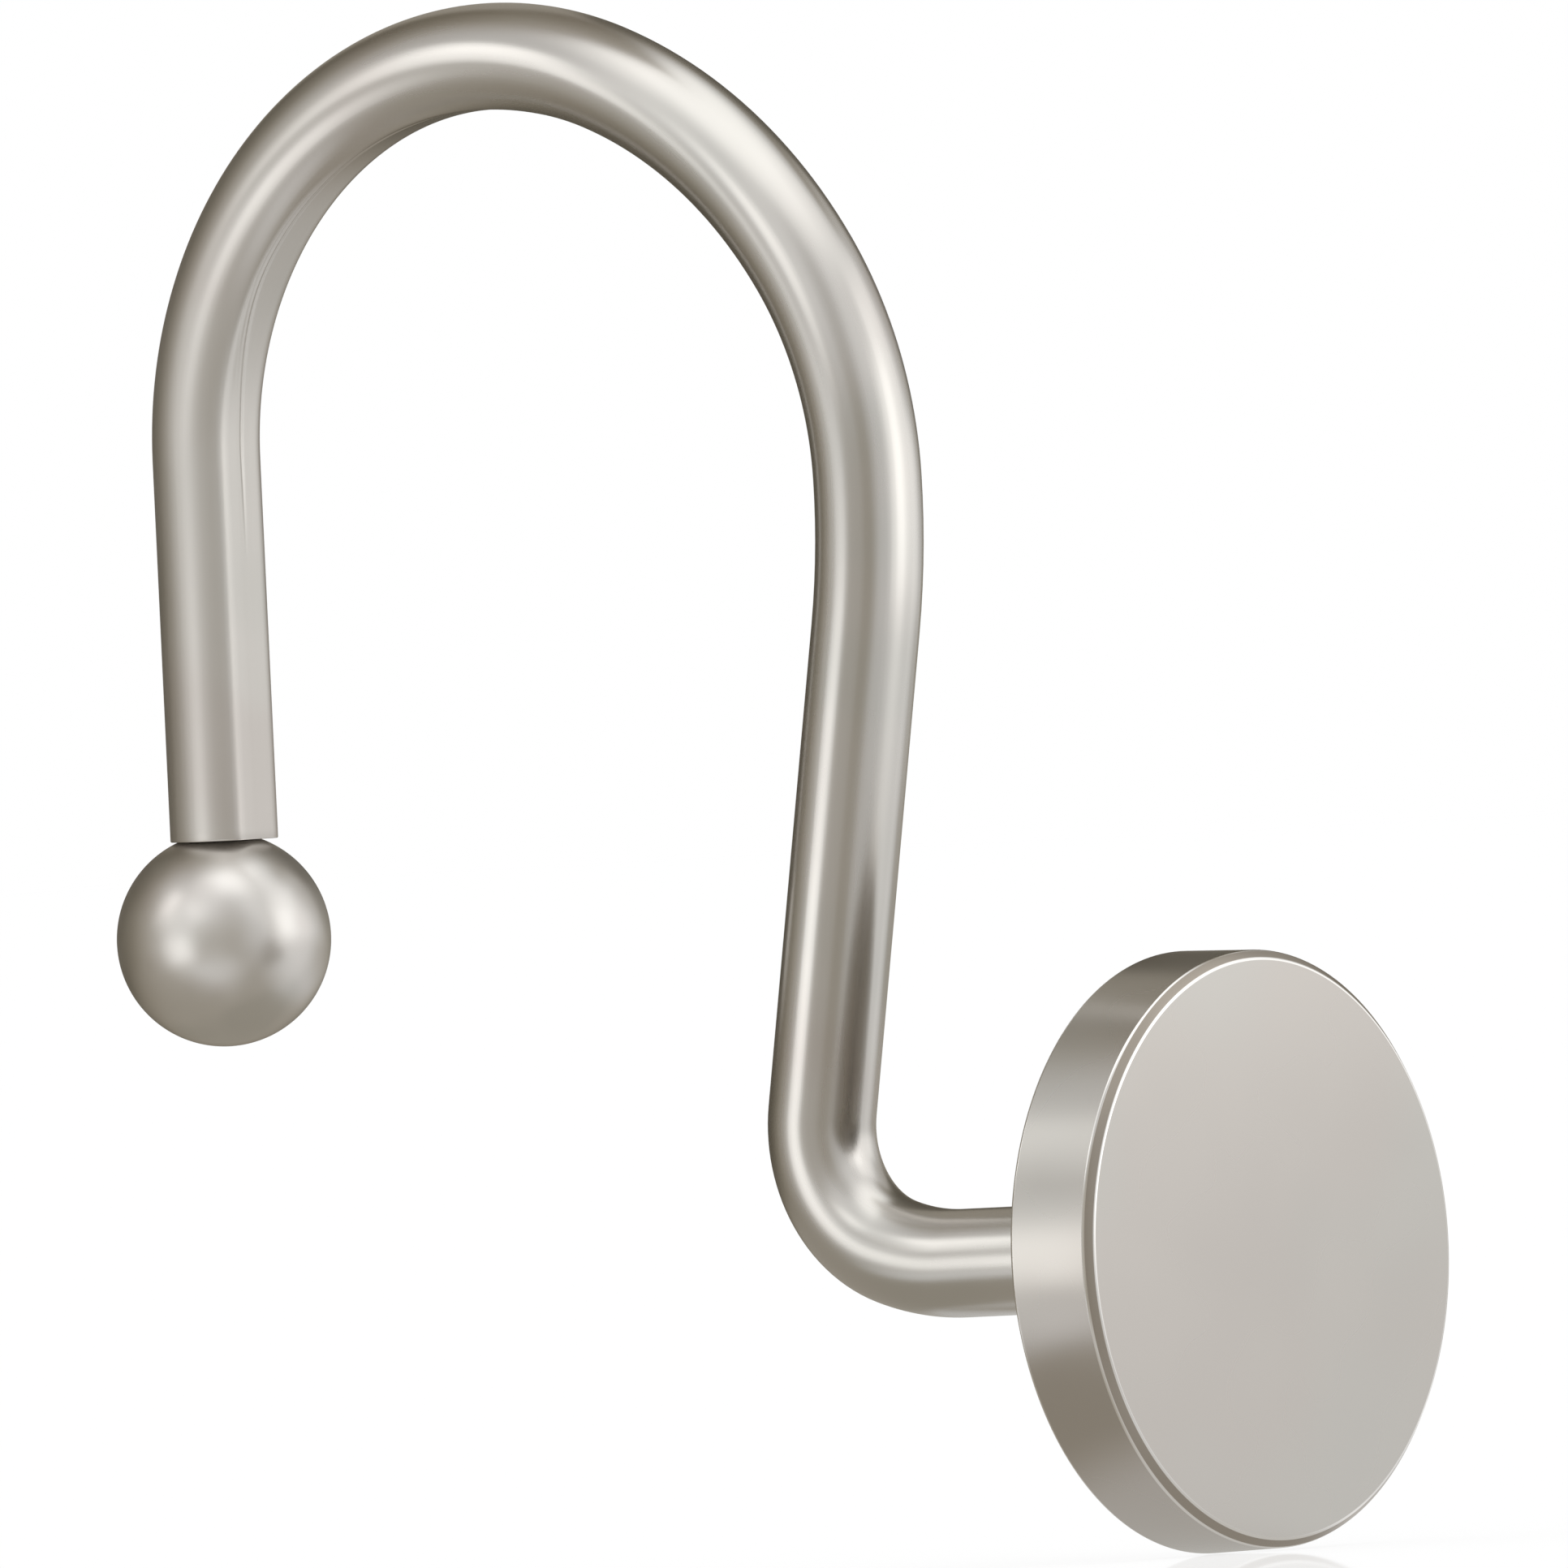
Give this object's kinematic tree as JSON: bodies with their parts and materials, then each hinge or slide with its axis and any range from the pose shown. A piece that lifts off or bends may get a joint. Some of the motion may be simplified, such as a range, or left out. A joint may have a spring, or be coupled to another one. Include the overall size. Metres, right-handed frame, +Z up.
{
  "type": "curtain hook",
  "caption": "Bent metal rod hook that hangs over a curtain rod, with a ball on its free end and a round disc in front.",
  "frame": {"origin": "centre of the arch, where the axis of the curtain rod lies", "axes": "+X towards the disc, along the stub; +Z up, as the hook hangs; the rod is bent in the plane Y = 0"},
  "size_m": [0.0592, 0.0252, 0.0665],
  "materials": {
    "satin_nickel": "satin nickel plating",
    "disc_nickel": "fine satin nickel plating"
  },
  "bodies": {
    "root": {"hook_rod": "satin_nickel", "end_ball": "satin_nickel", "front_disc": "disc_nickel"}
  },
  "joints": []
}
